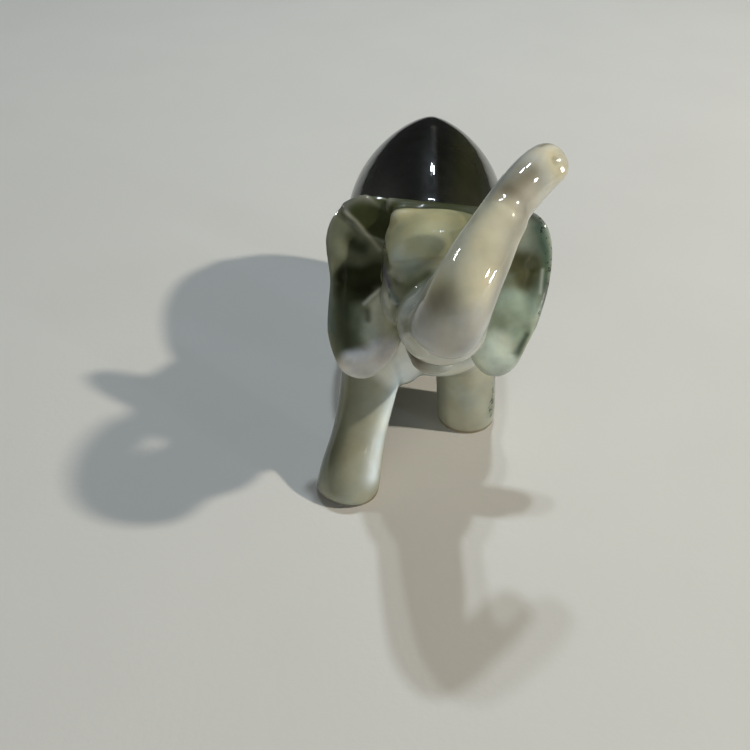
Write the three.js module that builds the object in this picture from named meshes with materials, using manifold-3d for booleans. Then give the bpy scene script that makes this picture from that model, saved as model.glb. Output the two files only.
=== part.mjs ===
// A walking elephant in glazed porcelain, with its trunk raised.
//
// Millimetres, +Z up. The elephant faces -Y, so its left side is +X. It is slip cast in separate
// plaster moulds, as figurines of this size are: a thin-walled body and head, and limbs, trunk,
// ears, jaw and tail that are cast solid, trimmed flat or to the surface they sit on, and luted
// together with liquid clay before the firing. Each casting is one mesh, and a seam of SEAM is
// left where two of them meet.

import * as THREE from 'three';
import { mergeVertices } from 'three/addons/utils/BufferGeometryUtils.js';
import Module from 'manifold-3d';

const wasm = await Module();
wasm.setup();

// ---------------------------------------------------------------- driving dimensions, mm
const SEAM = 0.3;              // luted seam between two castings
const WALL = 2.8;              // wall of the hollow castings
const LEG_CUT_Z = 20;          // the legs are trimmed level here, just under the belly
const NECK_TOP = [0, -5, 52];  // the neck is trimmed on a plane through this point
const NECK_SLOPE = 0.78;       // how far that plane drops for each mm towards the front
const TRUNK_CUT_Y = -33;       // the trunk is trimmed upright here, at the face
const FACE_X = 2.8;            // the head is carried this far to the elephant's left
const HEAD_TOP_Z = 64;         // clear above the head, below the raised end of the trunk
const VENT_Y = 14;             // the air vent under the belly, which the firing needs
const VENT_RADIUS = 4.5;
const VENT_SIDES = 16;
const VENT_DEPTH = 40;         // from the table up into the hollow body
const REACH = 200;             // larger than the elephant, for the trimming planes
const ROUND = 2;               // roundness of an ellipse; a lower one comes to a ridge

// A limb is a row of elliptical sections: [x, y, z, half width, half height].
const BODY = {
  sections: [
    [-0.4, 41, 40.4, 15.2, 14.0],
    [-0.4, 33, 41.0, 18.8, 18.0],
    [-0.6, 20, 40.4, 20.4, 18.6],
    [-0.3, 6, 38.4, 20.1, 16.8],
    [0.6, -5, 36.2, 17.6, 14.2],
    [1.2, -15, 32.8, 13.8, 11.2],
    [1.6, -23, 29.8, 11.2, 9.0],
  ],
  caps: [7.5, 7.5],
  keel: 1.5,
  sides: 28,
  rings: 14,
  capRings: 4,
};

const HEAD = {
  sections: [
    [1.6, 0, 39.5, 10.5, 8.6],
    [2.2, -9, 43.6, 12.8, 11.9],
    [FACE_X, -17, 45.4, 12.6, 13.2],
    [FACE_X, -24, 45.0, 11.6, 12.4],
    [FACE_X, -30, 43.2, 9.4, 9.2],
  ],
  caps: [4, 4.5],
  keel: 2.5,
  sides: 26,
  rings: 9,
  capRings: 4,
};

const TRUNK = {
  sections: [
    [FACE_X, -27, 43.4, 8.8, 7.8],
    [3.4, -35, 43.6, 8.9, 7.7],
    [4.6, -43, 47.0, 8.6, 7.8],
    [6.2, -49.2, 53.4, 8.0, 7.8],
    [7.9, -49.8, 60.3, 7.2, 7.0],
    [10.8, -45.8, 67.2, 5.8, 5.6],
    [15.3, -38.8, 73.3, 4.6, 4.6],
    [19.8, -32.4, 76.1, 4.6, 4.4],
    [22.8, -28.4, 76.9, 4.5, 4.1],
  ],
  caps: [4, 3],
  sides: 22,
  rings: 28,
  capRings: 3,
};

const JAW = {
  sections: [
    [FACE_X, -23, 35.6, 6.8, 4.6],
    [FACE_X, -30, 33.8, 6.4, 3.4],
    [2.6, -35.4, 33.4, 4.6, 2.6],
  ],
  caps: [3, 3.2],
  sides: 16,
  rings: 5,
  capRings: 3,
};

const LEGS = {
  leg_front_right: [
    [-9.0, -12.0, 38, 8.6, 9.0],
    [-10.6, -24.5, 25, 7.6, 8.0],
    [-12.8, -34.6, 12, 6.9, 7.0],
    [-15.0, -41.6, 4, 7.2, 7.2],
    [-15.9, -44.2, -1, 7.5, 7.5],
  ],
  leg_front_left: [
    [10.6, -12.0, 38, 8.6, 9.6],
    [11.0, -14.2, 25, 8.2, 8.6],
    [11.5, -15.2, 12, 7.6, 7.6],
    [12.3, -16.0, 4, 7.8, 7.6],
    [12.5, -16.4, -1, 8.1, 7.9],
  ],
  leg_rear_right: [
    [-9.6, 24.0, 38, 9.4, 12.0],
    [-12.6, 17.4, 25, 8.8, 9.6],
    [-15.0, 10.6, 12, 7.4, 7.8],
    [-16.0, 6.4, 4, 7.3, 7.3],
    [-16.4, 4.6, -1, 7.6, 7.6],
  ],
  leg_rear_left: [
    [9.6, 27.0, 38, 9.4, 12.0],
    [12.6, 29.0, 25, 8.8, 9.6],
    [14.6, 29.4, 12, 7.4, 7.8],
    [15.2, 28.4, 4, 7.3, 7.3],
    [15.4, 28.0, -1, 7.6, 7.6],
  ],
};
const LEG_STYLE = { caps: [5, 2], sides: 20, rings: 9, capRings: 2 };

const TAIL = {
  sections: [
    [0.2, 44.0, 50.0, 2.7, 2.5],
    [0.4, 48.6, 44.0, 2.2, 2.0],
    [1.2, 49.4, 36.0, 1.8, 1.7],
    [2.6, 47.0, 29.0, 2.5, 2.1],
    [3.6, 44.4, 25.0, 1.6, 1.4],
  ],
  caps: [2, 2],
  sides: 12,
  rings: 14,
  capRings: 2,
};

// Each ear is a cupped blade. Its outline is measured outwards from the middle of the face and
// up the plane that the ear leans back on, from the point where that plane meets EAR_FOOT.
const EAR_FOOT = [FACE_X, -35, 26];
const EAR_LEAN = [0, 25, 32];  // the run and the rise of the plane
const EAR_OUTLINES = {
  ear_left: [
    [24.7, 22], [25.1, 31.6], [22.6, 37.6], [16, 40.2], [9, 39.6], [6, 28],
    [6, 15], [9, 5.4], [13.2, 2.2], [17.6, 4], [21.6, 12],
  ],
  ear_right: [
    [23.9, 22], [25.2, 31.6], [22.8, 37.8], [16.6, 41], [9, 40.2], [6, 28],
    [6, 14], [9.4, 5], [14.4, 0.4], [20.2, 2], [23.8, 10],
  ],
};
const EAR_SIDE = { ear_left: 1, ear_right: -1 };
const EAR_CENTRE = [15, 20];
const EAR_THICKNESS = 3.6;
const EAR_CUP = 2.4;           // how far the middle lies behind the rim
const EAR_EDGE = 5;            // roundness of the blade's section, which is nearly square
const EAR_SIDES = 36;
const EAR_RINGS = 14;

// The glazes' colours, and the roughness that they share.
const GLAZES = {
  body: '#2b2d1c',
  head: '#7d7d64',
  trunk: '#c6c1a3',
  jaw: '#9c9d93',
  ear: '#7c8470',
  leg: '#878a7c',
};
const GLAZE_ROUGHNESS = 0.15;

// ---------------------------------------------------------------- shaping
// The point of a rounder or sharper section that lies in the same direction as a circle's.
function bend(value, roundness) {
  return Math.sign(value) * Math.abs(value) ** (2 / roundness);
}

// A capsule drawn along a curve through the sections' centres, with their widths and heights.
// With `grow` the same form is thicker or, for a hollow, thinner.
function limbGeometry(style, grow = 0) {
  const { sections, caps, keel = ROUND, sides, rings, capRings } = style;
  const path = new THREE.CatmullRomCurve3(sections.map(([x, y, z]) => new THREE.Vector3(x, y, z)));
  const sizes = new THREE.CatmullRomCurve3(
    sections.map(([, , , wide, high]) => new THREE.Vector3(wide, high, 0)));
  const geometry = new THREE.CapsuleGeometry(1, 1, capRings, sides, rings);
  const position = geometry.attributes.position;
  const vertex = new THREE.Vector3();
  const across = new THREE.Vector3();
  const up = new THREE.Vector3();
  for (let i = 0; i < position.count; i++) {
    vertex.fromBufferAttribute(position, i);
    const along = THREE.MathUtils.clamp(0.5 - vertex.y, 0, 1);
    const beyond = 0.5 - vertex.y - along;
    const centre = path.getPoint(along);
    const tangent = path.getTangent(along);
    const size = sizes.getPoint(along);
    across.set(1, 0, 0).addScaledVector(tangent, -tangent.x).normalize();
    up.crossVectors(tangent, across);
    const spread = Math.hypot(vertex.x, vertex.z);
    const cosine = spread > 0 ? vertex.x / spread : 0;
    const sine = spread > 0 ? vertex.z / spread : 0;
    const roundness = sine > 0 ? keel : ROUND;
    const capLength = (beyond < 0 ? caps[0] : caps[1]) + grow;
    vertex.copy(centre)
      .addScaledVector(tangent, beyond * capLength)
      .addScaledVector(across, spread * bend(cosine, roundness) * (size.x + grow))
      .addScaledVector(up, spread * bend(sine, roundness) * (size.y + grow));
    position.setXYZ(i, vertex.x, vertex.y, vertex.z);
  }
  return geometry;
}

// An ear: a sphere pressed to the outline, cupped, and laid on its leaning plane.
function earGeometry(name) {
  const side = EAR_SIDE[name];
  const outline = new THREE.CatmullRomCurve3(
    EAR_OUTLINES[name].map(([out, rise]) => new THREE.Vector3(out, rise, 0)), true);
  const foot = new THREE.Vector3(...EAR_FOOT);
  const outwards = new THREE.Vector3(side, 0, 0);
  const upwards = new THREE.Vector3(...EAR_LEAN).normalize();
  const forwards = new THREE.Vector3(0, -upwards.z, upwards.y);
  const geometry = new THREE.SphereGeometry(1, EAR_SIDES, EAR_RINGS);
  const position = geometry.attributes.position;
  const vertex = new THREE.Vector3();
  for (let i = 0; i < position.count; i++) {
    vertex.fromBufferAttribute(position, i);
    const spread = Math.min(1, Math.hypot(vertex.x, vertex.z));
    const turn = Math.atan2(-side * vertex.z, vertex.x) / (2 * Math.PI);
    const edge = outline.getPointAt((turn + 1) % 1);
    const out = THREE.MathUtils.lerp(EAR_CENTRE[0], edge.x, spread);
    const rise = THREE.MathUtils.lerp(EAR_CENTRE[1], edge.y, spread);
    const thick = bend(vertex.y, EAR_EDGE) * EAR_THICKNESS / 2;
    const cup = EAR_CUP * (1 - spread ** 2);
    vertex.copy(foot)
      .addScaledVector(outwards, out)
      .addScaledVector(upwards, rise)
      .addScaledVector(forwards, thick - cup);
    position.setXYZ(i, vertex.x, vertex.y, vertex.z);
  }
  return geometry;
}

// ---------------------------------------------------------------- solids
function solidOf(geometry) {
  const bare = geometry.toNonIndexed();
  bare.deleteAttribute('normal');
  bare.deleteAttribute('uv');
  const merged = mergeVertices(bare);
  return new wasm.Manifold(new wasm.Mesh({
    numProp: 3,
    vertProperties: merged.attributes.position.array,
    triVerts: new Uint32Array(merged.index.array),
  }));
}

function limb(style, grow = 0) {
  return solidOf(limbGeometry(style, grow));
}

function block(low, high) {
  const size = high.map((value, i) => value - low[i]);
  const geometry = new THREE.BoxGeometry(...size);
  geometry.translate(...low.map((value, i) => value + size[i] / 2));
  return solidOf(geometry);
}

// Everything below the level z.
function below(z) {
  return block([-REACH, -REACH, -REACH], [REACH, REACH, z]);
}

// Everything in front of and above the neck's trimming plane, moved forwards by `shift`.
function beforeNeck(shift) {
  const geometry = new THREE.BoxGeometry(REACH, REACH, REACH);
  geometry.translate(0, 0, REACH / 2 + shift);
  geometry.rotateX(Math.atan(NECK_SLOPE));
  geometry.translate(...NECK_TOP);
  return solidOf(geometry);
}

// The side of the trunk's trimming plane that the head is on. The raised end of the trunk
// passes above it.
function atHead(shift) {
  const above = HEAD_TOP_Z + SEAM;
  return block([-REACH, TRUNK_CUT_Y + shift, -REACH], [REACH, REACH, above]);
}

function meshOf(name, solid, color) {
  const { vertProperties, triVerts } = solid.getMesh();
  const geometry = new THREE.BufferGeometry();
  geometry.setAttribute('position', new THREE.BufferAttribute(vertProperties, 3));
  geometry.setIndex(new THREE.BufferAttribute(triVerts, 1));
  geometry.computeVertexNormals();
  const material = new THREE.MeshStandardMaterial({
    color, roughness: GLAZE_ROUGHNESS, metalness: 0 });
  const mesh = new THREE.Mesh(geometry, material);
  mesh.name = name;
  return mesh;
}

// ---------------------------------------------------------------- castings
const half = SEAM / 2;

const legForms = Object.fromEntries(Object.entries(LEGS).map(
  ([name, sections]) => [name, { ...LEG_STYLE, sections }]));
const together = (forms, grow = 0) => forms
  .map((form) => limb(form, grow))
  .reduce((sum, solid) => sum.add(solid));

// The body, head and trunk are modelled as one figure, and trimmed apart on two planes.
const figure = together([BODY, HEAD, TRUNK]);
const hollow = together([BODY, HEAD], -WALL);
const front = figure.intersect(beforeNeck(half));
const head = front.intersect(atHead(half)).subtract(hollow.intersect(atHead(WALL)));
const trunk = front.subtract(atHead(-half));

const ventTube = new THREE.CylinderGeometry(VENT_RADIUS, VENT_RADIUS, VENT_DEPTH, VENT_SIDES);
ventTube.rotateX(Math.PI / 2);
ventTube.translate(0, VENT_Y, VENT_DEPTH / 2);
const headRoom = together([BODY, HEAD, TRUNK], SEAM).intersect(beforeNeck(-half));
const torso = figure
  .add(together(Object.values(legForms)))
  .subtract(headRoom)
  .subtract(below(LEG_CUT_Z + half))
  .subtract(hollow)
  .subtract(solidOf(ventTube));

// The jaw, tail and ears are seated on the figure's surface.
const seat = together([BODY, HEAD, TRUNK, ...Object.values(legForms)], SEAM);
const jaw = limb(JAW).subtract(seat);
const tail = limb(TAIL).subtract(seat);

const group = new THREE.Group();
group.add(
  meshOf('torso', torso, GLAZES.body),
  meshOf('head', head, GLAZES.head),
  meshOf('trunk', trunk, GLAZES.trunk),
  meshOf('lower_jaw', jaw, GLAZES.jaw),
  meshOf('tail', tail, GLAZES.body),
);
for (const name of Object.keys(EAR_OUTLINES)) {
  const ear = solidOf(earGeometry(name)).subtract(seat).subtract(limb(JAW, SEAM));
  group.add(meshOf(name, ear, GLAZES.ear));
}
for (const [name, form] of Object.entries(legForms)) {
  const leg = limb(form).intersect(below(LEG_CUT_Z - half)).subtract(below(0));
  group.add(meshOf(name, leg, GLAZES.leg));
}

// The origin is on the ground under the middle of the elephant.
const box = new THREE.Box3().setFromObject(group);
const middle = box.getCenter(new THREE.Vector3());
group.position.set(-middle.x, -middle.y, -box.min.z);

export default group;
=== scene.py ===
"""A walking elephant in glazed porcelain, with its trunk raised.

The figure is modelled as a potter models it. Coils of clay for the body, head, trunk and legs are
laid over each other and fused into one skin, which is smoothed, pressed and pinched into shape,
sprayed with underglaze colour and then trimmed apart where the castings meet. The ears, the lower
jaw and the tail are modelled on their own and luted on.
"""

import math

import bmesh
import bpy
import numpy as np
from mathutils import Matrix, Vector


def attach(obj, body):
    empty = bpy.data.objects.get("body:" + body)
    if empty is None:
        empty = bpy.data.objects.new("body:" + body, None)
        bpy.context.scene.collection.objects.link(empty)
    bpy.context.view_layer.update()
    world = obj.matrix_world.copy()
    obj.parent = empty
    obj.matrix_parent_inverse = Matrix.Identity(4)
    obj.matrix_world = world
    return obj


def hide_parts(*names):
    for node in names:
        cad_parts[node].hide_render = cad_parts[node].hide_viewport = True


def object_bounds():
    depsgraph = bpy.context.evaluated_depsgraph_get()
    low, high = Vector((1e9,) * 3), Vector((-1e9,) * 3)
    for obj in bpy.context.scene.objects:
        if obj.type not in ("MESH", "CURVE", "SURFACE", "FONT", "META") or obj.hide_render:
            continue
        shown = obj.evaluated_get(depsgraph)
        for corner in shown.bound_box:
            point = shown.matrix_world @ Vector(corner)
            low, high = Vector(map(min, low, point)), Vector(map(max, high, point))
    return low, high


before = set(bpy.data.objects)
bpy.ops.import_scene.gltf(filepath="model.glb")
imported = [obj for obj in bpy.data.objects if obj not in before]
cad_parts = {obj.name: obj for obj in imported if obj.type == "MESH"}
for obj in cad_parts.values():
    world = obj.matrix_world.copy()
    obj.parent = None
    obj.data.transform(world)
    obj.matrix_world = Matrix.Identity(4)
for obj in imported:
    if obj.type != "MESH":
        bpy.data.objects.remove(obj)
CAD_LOW, CAD_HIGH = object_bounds()

# ---------------------------------------------------------------- the clay's own measure
# Clay is shaped in millimetres from the point on the table under the middle of the belly. The
# elephant faces -Y, so its left side is +X. TO_FRAME carries finished clay to the castings' frame.
MM = 0.001
RIGHT_REACH, FRONT_REACH = 23.91, 57.43
GROUND = CAD_LOW + Vector((RIGHT_REACH, FRONT_REACH, 0)) * MM
TO_FRAME = Matrix.Translation(GROUND) @ Matrix.Scale(MM, 4)

FINE, FINER = 0.42, 0.34       # facet of the fused figure, and of the small pieces
ROUND = 2.0                    # roundness of an elliptical section
RUB = 0.6                      # how far one rub takes a point to the middle of its neighbours

LEG_CUT_Z = 20.0               # the legs are luted on here
MID_LEGS_Y = -2.0              # between the front and the rear legs
NECK_TOP = Vector((0, -5, 52))
NECK_SLOPE = 0.78              # drop of the neck's seam for each mm towards the front
TRUNK_CUT_Y = -33.0            # the trunk's seam at the face
HEAD_TOP_Z = 64.0              # above the head, below the raised end of the trunk
FACE_X = 2.8                   # the head is carried this far to the left
CUT_REACH = 2.0                # only facets this near a seam are looked at when it is cut
MOST_CORNERS = 8               # a facet has fewer; the flat of a seam has more

# Sizes in the fired glaze, in mm, and how strong each is.
CLOUD_MM, CLOUD_DEPTH = 7.0, 0.16          # uneven spray under the glaze
EAR_CLOUD_MM, EAR_CLOUD_DEPTH = 4.5, 0.22  # the ears were sprayed closer
DRIFT_MM, COOL_MM, DRIFT_SHARE = 9.0, 12.0, 0.45
WARM_TINT, COOL_TINT = "#ffefcf", "#dceaf2"
SPECK_MM, SPECK_SHARE, SPECK_COLOUR = 1.3, 0.85, "#171a12"  # burnt pigment grains
SPECK_PULL, SPECK_EDGE = 0.26, (0.74, 0.79)  # how far a speckled place brings them out
RIPPLE_MM, RIPPLE_HEIGHT_MM = 3.2, 0.030   # where the glaze ran
GRAIN_MM, GRAIN_HEIGHT_MM = 0.7, 0.003     # the sprayed colour's own grain
GLASS_IOR, GLASS_ROUGHNESS = 1.5, 0.035    # the clear glaze over it
CLAY_ROUGHNESS = (0.42, 0.58)
LIGHT_DEPTH = (0.0012, 0.0010, 0.0008)     # how far red, green and blue get into the white body

# A coil is a row of sections: x, y, z, half width, half height.
BODY = [
    (-0.4, 41, 40.4, 15.2, 14.0), (-0.4, 33, 41.0, 18.8, 18.0), (-0.6, 20, 40.4, 20.4, 18.6),
    (-0.3, 6, 38.4, 20.1, 16.8), (0.6, -5, 36.2, 17.6, 14.2), (1.2, -15, 32.8, 13.8, 11.2),
    (1.6, -23, 29.8, 11.2, 9.0),
]
HEAD = [
    (1.6, 0, 39.5, 10.5, 8.6), (2.2, -9, 43.6, 12.8, 11.9), (FACE_X, -17, 45.4, 12.6, 13.2),
    (FACE_X, -24, 45.0, 11.6, 12.4), (FACE_X, -30, 43.2, 9.4, 9.2),
]
TRUNK = [
    (FACE_X, -27, 43.4, 8.8, 7.8), (3.4, -35, 43.6, 8.9, 7.7), (4.6, -43, 47.0, 8.6, 7.8),
    (6.2, -49.2, 53.4, 8.0, 7.8), (7.9, -49.8, 60.3, 7.2, 7.0), (10.8, -45.8, 67.2, 5.8, 5.6),
    (15.3, -38.8, 73.3, 4.6, 4.6), (19.8, -32.4, 76.1, 4.6, 4.4), (22.8, -28.4, 76.9, 4.5, 4.1),
]
JAW = [
    (FACE_X, -23, 35.6, 6.8, 4.6), (FACE_X, -31, 34.4, 6.6, 3.8), (2.8, -37.5, 34.8, 4.8, 3.0),
]
CREST = [(-9.5, -11.8, 57.6), (-3.0, -11.6, 57.0), (3.0, -11.4, 56.5), (14.6, -11.8, 55.8)]
CREST_FRONT = [(-7.5, -15.2, 55.8), (3.0, -15.2, 55.6), (13.4, -15.2, 54.8)]
CREST_ROLLS = [(CREST, 1.9), (CREST_FRONT, 2.6)]  # the ridge that joins the ears over the head
# Balls of clay, by their middles and half sizes: the chest, and its join with the forward leg.
BALLS = [((4.0, -21.5, 29.0), (12.5, 7.2, 10.8)), ((-4.5, -24.0, 27.2), (6.5, 6.0, 10.5))]
# The line over the nape where the head is luted to the body.
NAPE = [
    (-15.0, -3.5, 44.0), (-8.0, -4.0, 49.5), (0.5, -4.5, 51.5), (9.0, -4.0, 49.5),
    (16.0, -3.5, 44.0),
]
# The coil that fills the crook between the trunk and the brow.
CROOK = [
    (4.0, -33.0, 46.0, 6.4, 5.0), (5.0, -37.6, 51.0, 5.8, 5.2), (6.8, -40.6, 56.5, 5.4, 5.0),
    (9.0, -41.6, 62.5, 4.6, 4.2), (11.6, -40.6, 67.0, 3.8, 3.4),
]
TIP_POINT = np.array((24.0, -31.4, 78.6))
TIP_FACE = Vector((0.60, -0.42, 0.68)).normalized()  # the way the trunk's open end faces
TIP_SLICE = 0.94               # share of the clay beyond the end that the slice takes off
DISH_WIDTH, DISH_DEPTH = 2.4, 0.5
NOSTRILS = [(23.6, -31.0, 78.8), (24.9, -32.2, 77.2)]
NOSTRIL_WIDTH, NOSTRIL_DEPTH = 0.9, 0.3
VENT_MIDDLE, VENT_RADIUS = (0.0, 14.0), 4.3    # the air hole under the belly
VENT_DEPTH, VENT_EDGE = 9.0, 0.6
LEGS = {
    "leg_front_right": [
        (-9.0, -12.0, 38, 8.6, 9.0), (-10.8, -24.5, 25, 7.4, 8.0), (-13.2, -34.6, 12, 6.4, 6.8),
        (-15.0, -41.6, 4, 7.2, 7.2), (-15.9, -44.2, -1, 7.5, 7.5),
    ],
    "leg_front_left": [
        (10.6, -12.0, 38, 8.6, 9.6), (11.0, -14.2, 25, 8.2, 8.6), (11.5, -15.2, 12, 7.6, 7.6),
        (12.2, -16.0, 4, 7.5, 7.4), (12.3, -16.4, -1, 7.4, 7.4),
    ],
    "leg_rear_right": [
        (-9.6, 24.0, 38, 9.4, 12.0), (-12.6, 17.4, 25, 8.8, 9.6), (-15.0, 10.6, 12, 7.4, 7.8),
        (-16.0, 6.4, 4, 7.3, 7.3), (-16.4, 4.6, -1, 7.6, 7.6),
    ],
    "leg_rear_left": [
        (9.6, 27.0, 38, 9.4, 12.0), (12.6, 29.0, 25, 8.8, 9.6), (14.6, 29.4, 12, 7.4, 7.8),
        (15.2, 28.4, 4, 7.3, 7.3), (15.4, 28.0, -1, 7.6, 7.6),
    ],
}
TAIL = [
    (0.2, 44.0, 50.0, 2.7, 2.5), (0.4, 48.6, 44.0, 2.2, 2.0), (1.2, 49.4, 36.0, 1.8, 1.7),
    (2.6, 47.0, 29.0, 2.5, 2.1), (3.6, 44.4, 25.0, 1.6, 1.4),
]

# An ear's outline is measured outwards from the middle of the face, and up its leaning plane.
EAR_FOOT = Vector((FACE_X, -35, 26))
EAR_LEAN = Vector((0, 25, 32)).normalized()
EAR_OUTLINES = {
    "ear_left": [
        (24.7, 22), (25.1, 31.6), (22.6, 37.6), (16, 40.2), (9, 39.6), (6, 28), (6, 15),
        (9, 5.4), (13.2, 2.2), (17.6, 4), (21.6, 12),
    ],
    "ear_right": [
        (23.9, 22), (25.2, 31.6), (22.8, 37.8), (16.6, 41), (10, 39.4), (6, 28), (6, 14),
        (9.4, 5), (14.4, 0.4), (20.2, 2), (23.8, 10),
    ],
}
EAR_SIDE = {"ear_left": 1, "ear_right": -1}
EAR_CENTRE = np.array((15.0, 20.0))
EAR_THICKNESS = 3.6
EAR_CUP = 2.4                  # how far the middle lies behind the rim
EAR_EDGE = 5.0                 # how square the ear's edge is
EAR_MIDDLE = -0.6 * EAR_CUP    # height of the ear's middle layer
EAR_FRONT, EAR_REAR = (-0.6, 0.8), (-1.4, -0.2)  # where its front starts and its back ends


def both_sides(line):
    """The line, and its mirror image on the other side of the face."""
    return [line, [(2 * FACE_X - x, y, z) for x, y, z in line]]


# Where a soft thumb pulls the clay: how far, the thumb's width, and the lines it is drawn along.
CHEEK_PULLS = [((-2.4, 0, 0), 3.6, [[(-6.0, -27.0, 43.0), (-5.8, -29.4, 39.5)]])]
TRUNK_PULLS = [
    ((-1.7, 0, 0), 5.5, [[(14.5, -54.0, 60.0), (13.0, -52.0, 50.0)]]),
    ((0, 1.7, 2.1), 5.0, [[(-1.0, -51.0, 45.0), (9.0, -51.0, 45.0)]]),
]
JOINS_WIDTH, JOINS_RUBS = 6.0, 60    # the crook and the nape are rubbed till no join shows

# How the clay is worked: height in mm, width of the tool, softness of its edge (None for a tool
# that is soft all over), and the lines it is drawn along.
FIGURE_RELIEF = [
    # the pad on the brow
    (0.6, 3.8, 1.2, [[(-5.6, -17.8, 54.8), (-3.0, -18.6, 56.8), (1.5, -19.0, 58.0),
                      (8.0, -19.0, 58.2)],
                     [(-5.2, -21.6, 55.0), (-2.6, -22.0, 56.6), (2.0, -22.2, 57.8), (8.0, -22, 58)],
                     [(-4.4, -25.2, 54.8), (-1.8, -25.8, 56.2), (2.0, -25.8, 57.0),
                      (7, -25.0, 57.4)]]),
    # the eye sockets, the lids and the creases over them
    (-1.0, 2.2, None, both_sides([(-6.0, -29.6, 49.6), (-3.4, -31.8, 49.8), (0.2, -32.0, 51.8)])),
    (0.35, 1.0, None, both_sides([(-8.9, -23.0, 48.0), (-7.9, -27.4, 48.0), (-6.4, -30.6, 47.0)])),
    (-0.25, 0.7, None, both_sides([(-9.4, -22.6, 50.0), (-8.0, -27.0, 49.9), (-6.4, -30.0, 49.0)])),
    # a crease at the trunk's root, and the ridge up its right side
    (-0.3, 1.6, None, [[(-4.6, -33.6, 47.4), (-2.6, -34.4, 50.4)]]),
    (0.25, 0.8, None, [[(-1.8, -52.9, 54.9), (-0.4, -52.6, 59.4), (1.6, -51.6, 63.0),
                        (4.0, -49.4, 66.6)]]),
    # a swell on the trunk's front, with a dip beside it
    (0.25, 5.5, None, [[(9.0, -56.0, 61.0)]]),
    (-0.35, 2.6, None, [[(2.4, -54.0, 62.0), (0.6, -53.2, 58.6)]]),
    # a wrinkle under the raised end, and the dip above it
    (0.35, 1.5, None, [[(12.6, -43.0, 75.4), (15.6, -45.0, 73.8), (17.6, -43.4, 71.6)]]),
    (-0.35, 1.3, None, [[(14.0, -40.6, 76.9), (17.4, -42.2, 75.0), (19.2, -40.6, 72.8)]]),
    # the spine
    (0.4, 1.5, None, [[(0.4, 26, 59.4), (1.2, 15.5, 58.4), (1.9, 6.9, 56.0), (2.4, 0.0, 53.6)]]),
]
EAR_FOLD = [(21.0, 37.2), (18.6, 35.3), (16.3, 32.9), (14.4, 31.0), (13.0, 29.3)]
EAR_RIM_LINE = [
    (9.0, 38.2), (16.0, 38.8), (20.6, 36.8), (22.8, 31.6), (22.2, 22.0), (21.8, 11.6), (19.0, 4.0),
]
EAR_RELIEF = {
    "ear_right": [
        # the rim, the web to the crest and the fold down it
        (0.4, 1.6, None, [EAR_RIM_LINE]),
        (0.55, 3.0, 1.0, [[(10.6, 34.4), (14.6, 35.9), (18.4, 38.4)]]),
        (0.14, 0.6, None, [EAR_FOLD]),
        # the hollow under the fold, and the ridge below that
        (-0.5, 1.7, None, [[(19.4, 31.6), (18.2, 30.4), (17.0, 29.8)]]),
        (0.25, 1.2, None, [[(22.4, 26.8), (17.4, 27.0), (13.2, 27.8)]]),
        # the deep hollow, and the long one inside the rim
        (-1.0, 2.8, None, [[(20.2, 22.2), (16.8, 21.8), (13.4, 23.4)]]),
        (-0.7, 1.8, None, [[(20.4, 18.6), (20.2, 12.6), (19.2, 7.4)]]),
        # the swell by the cheek, with its curl of clay
        (0.45, 2.6, 1.8, [[(9.4, 17.2), (12.4, 15.4), (13.6, 10.6)]]),
        (0.25, 0.45, None, [[(12.0, 21.0), (14.3, 18.9), (16.4, 16.7)]]),
        (-0.4, 0.9, None, [[(15.2, 15.4), (15.0, 13.6)]]),
        (0.22, 0.5, None, [[(16.8, 16.2), (17.0, 13.8), (15.8, 12.0)]]),
        # the lobe
        (0.8, 2.4, None, [[(18.0, 4.2), (14.8, 4.6), (11.6, 6.4)]]),
    ],
    "ear_left": [
        # the rim and the swell below it
        (0.35, 1.6, None, [EAR_RIM_LINE]),
        (0.3, 3.0, None, [[(16.0, 35.0), (18.0, 32.0)]]),
        # the hollow, and the swell under that
        (-0.6, 2.4, None, [[(17.4, 27.6), (20.6, 26.0), (19.4, 23.2)]]),
        (0.35, 2.4, None, [[(17.0, 18.2), (19.6, 15.4)]]),
        # a groove beside the rim, and the lobe
        (-0.45, 1.1, None, [[(20.6, 12.4), (19.6, 9.6), (18.2, 7.4)]]),
        (0.4, 2.4, None, [[(12.0, 7.6), (15.6, 6.0)]]),
    ],
}

CLAY_GREY = "#999b89"
FEW_SPECKS = 0.06
# Glaze that gathers in hollows and runs off ridges: colour, thickness, and the depths in mm at
# which it starts and is full. A ridge has a depth below 0.
POOLED = ("#3a4030", 0.30, (0.02, 0.22))
THINNED = ("#c9c9bf", 0.22, (-0.16, -0.5))
POOL_RUBS = 40                 # how often the skin is rubbed to find its hollows

# Broad underglaze colours: colour, thickness, and where the spray starts and is full along x, y
# and z (None where that doesn't matter).
SHOULDER = (-14.0, -4.0)
BACK_PAINT = [
    ("#55584b", 0.75, None, SHOULDER, (16, 34)),
    ("#15160c", 0.9, None, SHOULDER, (27, 44)),
    ("#090a03", 1.0, None, (-11.6, -9.8), (48, 55)),
    ("#262711", 0.8, (3.0, 9.0), SHOULDER, (46, 54)),
]
SOLE_PAINT = [
    ("#6b5a40", 0.9, None, None, (1.3, 0.5)),
    ("#b9ae97", 1.0, None, None, (0.4, 0.1)),
]

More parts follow.
